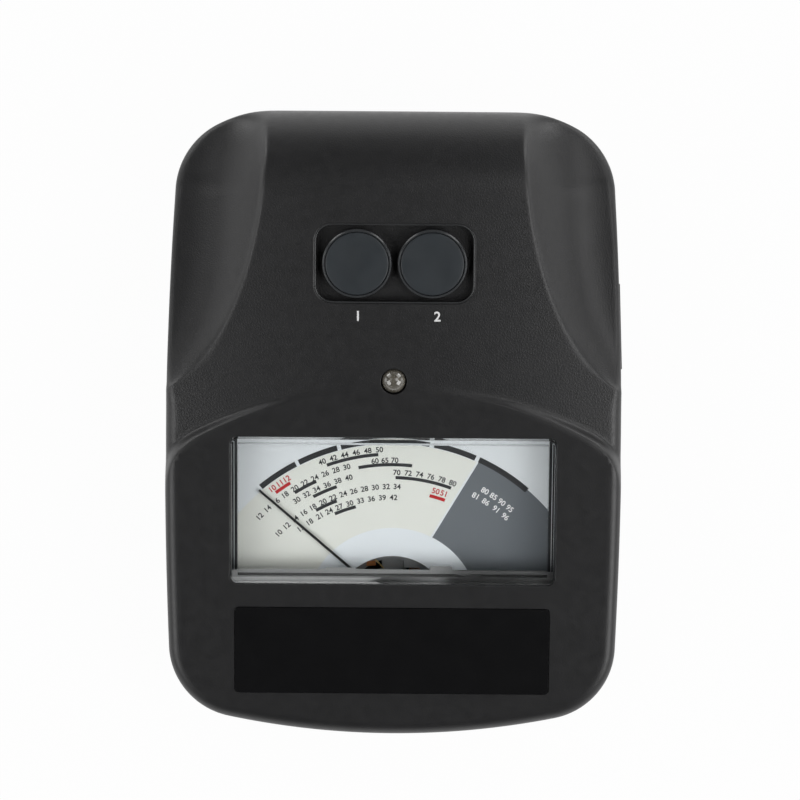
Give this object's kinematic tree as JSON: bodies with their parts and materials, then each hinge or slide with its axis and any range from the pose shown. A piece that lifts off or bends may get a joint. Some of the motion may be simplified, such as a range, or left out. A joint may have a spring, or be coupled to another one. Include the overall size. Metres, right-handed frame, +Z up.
{
  "type": "gemstone tester",
  "caption": "Wedge-shaped table-top gemstone tester with a sloping needle meter, round push buttons, an indicator lamp, a side rocker switch and a sliding battery door.",
  "frame": {"origin": "on the table, under the middle of the body", "axes": "+X to the right, +Y to the back, +Z up"},
  "size_m": [0.1094, 0.1502, 0.0507],
  "materials": {
    "housing": "fine grained",
    "base": "satin",
    "door": "satin",
    "plate": "semi-gloss",
    "clear_cover": "clear",
    "meter_plastic": "satin",
    "mask": "satin",
    "dial": "printed",
    "needle": "matte",
    "steel": "bright",
    "iron": "plain",
    "brass": "bright",
    "copper": "wound wire",
    "rubber": "matte",
    "button_rim": "gloss",
    "button_face": "smooth matte",
    "lamp": "clear",
    "black_plastic": "satin",
    "rocker": "semi-gloss",
    "board": "solder mask",
    "chips": "matte",
    "gold": "plated",
    "cell": "wrapped"
  },
  "bodies": {
    "housing": {"top_housing": "housing", "bottom_housing": "base", "housing_screws": "steel", "rubber_feet": "rubber", "face_plate": "plate", "meter_cover": "clear_cover", "meter_case": "meter_plastic", "meter_screws": "steel", "dial_plate": "dial", "dial_screws": "brass", "mask_plate": "mask", "yoke_ring": "iron", "magnet_core": "iron", "core_supports": "brass", "bearing_bridge": "brass", "jewel_screws": "brass", "stop_pins": "brass", "meter_terminals": "brass", "terminal_nuts": "brass", "ready_lamp": "lamp", "lamp_holder": "black_plastic", "circuit_board": "board", "board_screws": "steel", "board_components": "chips", "contact_pads": "gold", "switch_body": "black_plastic", "probe_socket": "black_plastic", "power_socket": "black_plastic", "battery_cells": "cell", "battery_contacts": "steel", "left_button_spring": "steel", "right_button_spring": "steel"},
    "needle_movement": {"needle": "needle", "moving_coil": "copper", "coil_pivots": "steel", "balance_weights": "brass"},
    "left_button": {"left_button_cap": "button_rim", "left_button_face": "button_face", "left_button_clip": "steel", "left_contact_pill": "rubber"},
    "right_button": {"right_button_cap": "button_rim", "right_button_face": "button_face", "right_button_clip": "steel", "right_contact_pill": "rubber"},
    "rocker": {"power_rocker": "rocker"},
    "door": {"battery_door": "door"}
  },
  "joints": [
    {"name": "needle_swing", "type": "hinge", "parent": "housing", "child": "needle_movement", "pos_m": [0, -0.04344, 0.02114], "axis": [0, 0.2079, -0.9781], "range_deg": [0, 98], "stiffness_Nm_per_rad": 0.00002},
    {"name": "left_button_press", "type": "slide", "parent": "housing", "child": "left_button", "axis": [0, 0.2079, -0.9781], "range_m": [0, 0.0012], "stiffness_N_per_m": 800, "springref_m": -0.0015, "deforming": ["left_button_spring"]},
    {"name": "right_button_press", "type": "slide", "parent": "housing", "child": "right_button", "axis": [0, 0.2079, -0.9781], "range_m": [0, 0.0012], "stiffness_N_per_m": 800, "springref_m": -0.0015, "deforming": ["right_button_spring"]},
    {"name": "rocker_tilt", "type": "hinge", "parent": "housing", "child": "rocker", "pos_m": [0.05203, 0.02394, 0.0225], "axis": [0, 0, 1], "range_deg": [0, 14]},
    {"name": "door_slide", "type": "slide", "parent": "housing", "child": "door", "axis": [0, 1, 0], "range_m": [0, 0.062]}
  ]
}
